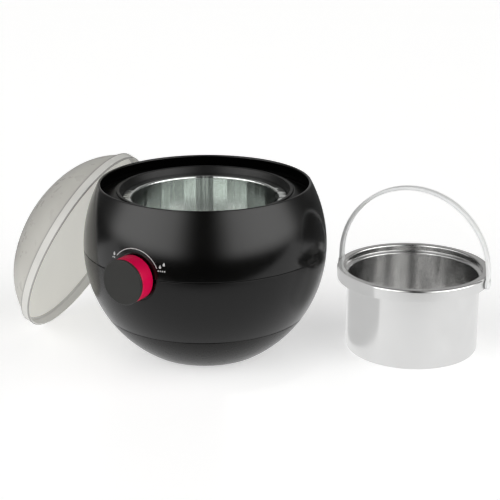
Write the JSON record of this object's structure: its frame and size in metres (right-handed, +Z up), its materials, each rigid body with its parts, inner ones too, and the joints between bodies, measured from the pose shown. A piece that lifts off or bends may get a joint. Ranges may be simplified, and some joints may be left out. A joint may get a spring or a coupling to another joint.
{
  "type": "wax warmer pot",
  "caption": "Ball-shaped electric wax warmer with a fixed heating well, a side heat knob, a lift-out bucket with a bail handle, and a domed frosted lid leaning on it.",
  "frame": {"origin": "on the table, at the middle of the set's footprint: lid, heater and bucket side by side", "axes": "+X from the heater to the bucket, +Y to the heater's back where the power inlet is, +Z up"},
  "size_m": [0.3594, 0.2139, 0.1392],
  "materials": {
    "bail_plastic": "milky nylon",
    "base_plastic": "black ABS, satin",
    "brass": "turned",
    "bridge_aluminium": "milled",
    "bucket_aluminium": "polished, spun",
    "cap_plastic": "dark grey, fine matt",
    "casing_gloss": "black ABS, soft gloss",
    "casing_satin": "black ABS, satin",
    "collar_plastic": "heat-resistant black plastic, fine texture",
    "foot_rubber": "moulded rubber",
    "fuse_sleeve": "glass-fibre sleeving",
    "glass_fibre": "woven glass-fibre lagging",
    "heater_steel": "steel-jacketed mica band",
    "inlet_plastic": "moulded nylon",
    "knob_pink": "crimson pink, gloss",
    "lead_blue": "wire insulation",
    "lead_brown": "wire insulation",
    "lead_white": "heat-resistant wire insulation",
    "lid_plastic": "frosted clear plastic",
    "plated_steel": "zinc plated",
    "steatite": "unglazed steatite",
    "well_aluminium": "polished, drawn"
  },
  "bodies": {
    "heater": {"upper_housing": "casing_gloss", "middle_housing": "casing_satin", "base_cover": "base_plastic", "rubber_feet": "foot_rubber", "top_collar": "collar_plastic", "heating_well": "well_aluminium", "heater_band": "heater_steel", "clamp_screw": "plated_steel", "clamp_nut": "plated_steel", "lagging": "glass_fibre", "spider_plate": "plated_steel", "tie_rods": "plated_steel", "tie_rod_nuts": "plated_steel", "thermal_fuse": "fuse_sleeve", "fuse_clip": "plated_steel", "thermostat": "steatite", "thermostat_nut": "brass", "thermostat_bracket": "plated_steel", "thermostat_bridge": "bridge_aluminium", "power_inlet": "inlet_plastic", "inlet_pins": "brass", "terminal_block": "steatite", "block_screw": "plated_steel", "base_screws": "plated_steel", "leg_screws": "plated_steel", "bracket_screws": "plated_steel", "inlet_lead_live": "lead_brown", "inlet_lead_neutral": "lead_blue", "thermostat_lead": "lead_brown", "heater_lead": "lead_white", "fuse_lead": "lead_white", "return_lead": "lead_blue"},
    "heat_knob": {"knob_shaft": "plated_steel", "knob": "knob_pink", "knob_cap": "cap_plastic"},
    "wax_bucket": {"bucket": "bucket_aluminium"},
    "bail": {"bucket_bail": "bail_plastic"},
    "pot_lid": {"lid": "lid_plastic"}
  },
  "joints": [
    {"name": "knob_turn", "type": "hinge", "parent": "heater", "child": "heat_knob", "pos_m": [-0.03218, -0.01039, 0.0815], "axis": [0.5255, 0.8508, 0], "range_deg": [0, 120]},
    {"name": "bucket_lift", "type": "slide", "parent": "heater", "child": "wax_bucket", "axis": [0, 0, 1], "range_m": [0, 0.15]},
    {"name": "bail_swing", "type": "hinge", "parent": "wax_bucket", "child": "bail", "pos_m": [0.12292, -0.01089, 0.0594], "axis": [0.8829, -0.4695, 0], "range_deg": [-90, 90]},
    {"name": "lid_lift", "type": "slide", "parent": "heater", "child": "pot_lid", "axis": [0, 0, 1], "range_m": [0, 0.1]}
  ]
}
